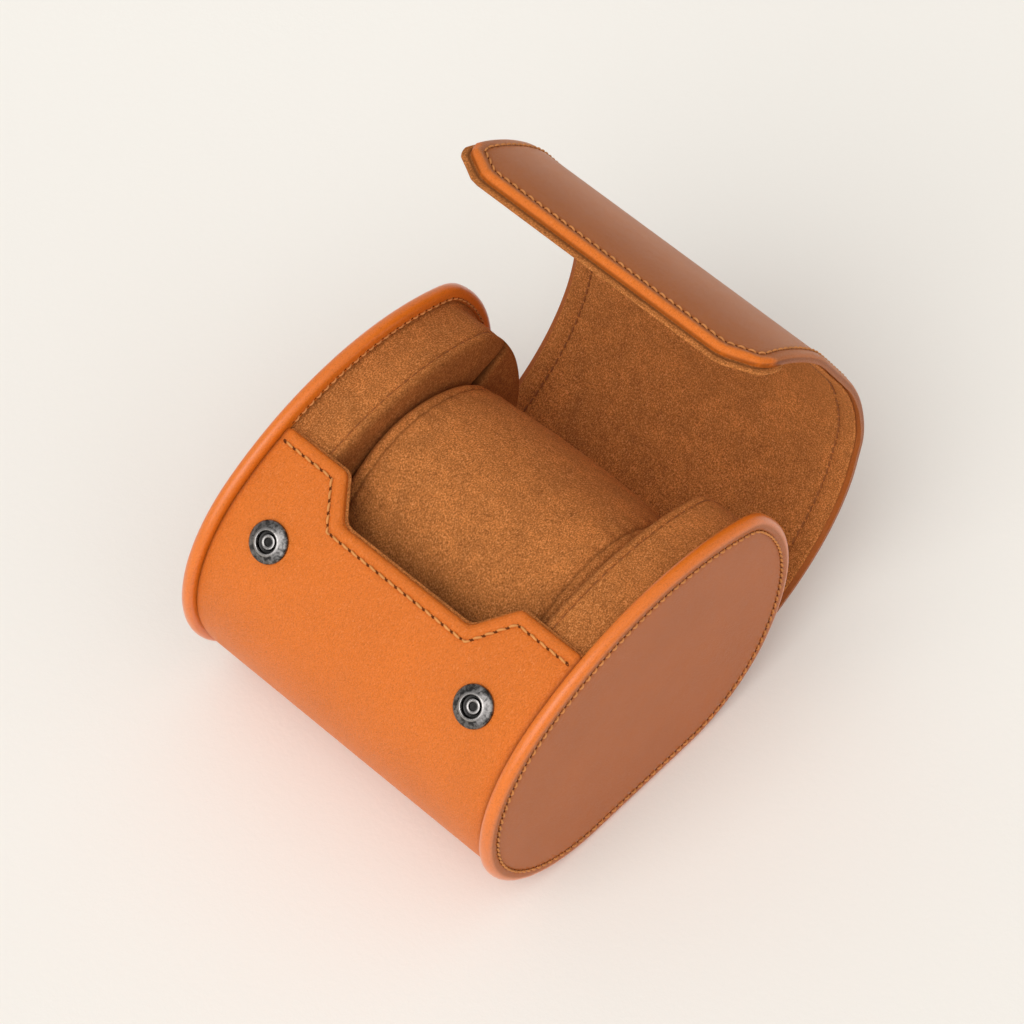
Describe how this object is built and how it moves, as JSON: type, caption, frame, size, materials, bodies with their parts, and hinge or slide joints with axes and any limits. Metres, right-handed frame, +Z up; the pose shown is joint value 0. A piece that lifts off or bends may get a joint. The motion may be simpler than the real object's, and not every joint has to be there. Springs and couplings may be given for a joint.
{
  "type": "rolled watch travel case",
  "caption": "Rolled leather watch travel case with round end caps, a folding lid closed by snap fasteners, and a suede cushion between padded cheeks.",
  "frame": {"origin": "on the floor, in the middle of the ground that the open case covers", "axes": "+X to the right along the roll, +Y to the back where the lid is hinged, +Z up"},
  "size_m": [0.1, 0.1356, 0.13],
  "materials": {
    "leather_rim": "polished grain",
    "leather_front": "fine grain, satin",
    "leather_lid": "fine grain, satin",
    "suede": "short nap, matt",
    "stiffener": "pressed fibre board, matt",
    "filling": "soft wadding, matt",
    "snap_metal": "gunmetal plating, polished"
  },
  "bodies": {
    "case": {"end_cover_right": "leather_rim", "end_board_right": "stiffener", "cheek_foam_right": "filling", "cheek_band_right": "suede", "cheek_face_right": "suede", "end_cover_left": "leather_rim", "end_board_left": "stiffener", "cheek_foam_left": "filling", "cheek_band_left": "suede", "cheek_face_left": "suede", "shell_leather": "leather_front", "shell_board": "stiffener", "shell_lining": "suede", "cushion_core": "filling", "cushion_sleeve": "suede", "cushion_end_right": "suede", "snap_socket_right": "snap_metal", "socket_post_right": "snap_metal", "cushion_end_left": "suede", "snap_socket_left": "snap_metal", "socket_post_left": "snap_metal"},
    "lid_back": {"lid_back_leather": "leather_lid", "lid_back_board": "stiffener", "lid_back_suede": "suede"},
    "lid_top": {"lid_top_leather": "leather_lid", "lid_top_board": "stiffener", "lid_top_suede": "suede"},
    "lid_flap": {"lid_flap_leather": "leather_lid", "lid_flap_board": "stiffener", "lid_flap_suede": "suede", "snap_stud_right": "snap_metal", "stud_cap_right": "snap_metal", "snap_stud_left": "snap_metal", "stud_cap_left": "snap_metal"}
  },
  "joints": [
    {"name": "lid_hinge", "type": "hinge", "parent": "case", "child": "lid_back", "pos_m": [0, 0.02116, 0.00804], "axis": [1, 0, 0], "range_deg": [-28, 42]},
    {"name": "lid_top_fold", "type": "hinge", "parent": "lid_back", "child": "lid_top", "pos_m": [0, 0.06676, 0.0521], "axis": [1, 0, 0], "range_deg": [-14, 21]},
    {"name": "flap_fold", "type": "hinge", "parent": "lid_top", "child": "lid_flap", "pos_m": [0, 0.04939, 0.10793], "axis": [1, 0, 0], "range_deg": [-45, 6]}
  ],
  "couplings": [
    {"joint": "lid_top_fold", "follows": "lid_hinge", "ratio": 0.5}
  ]
}
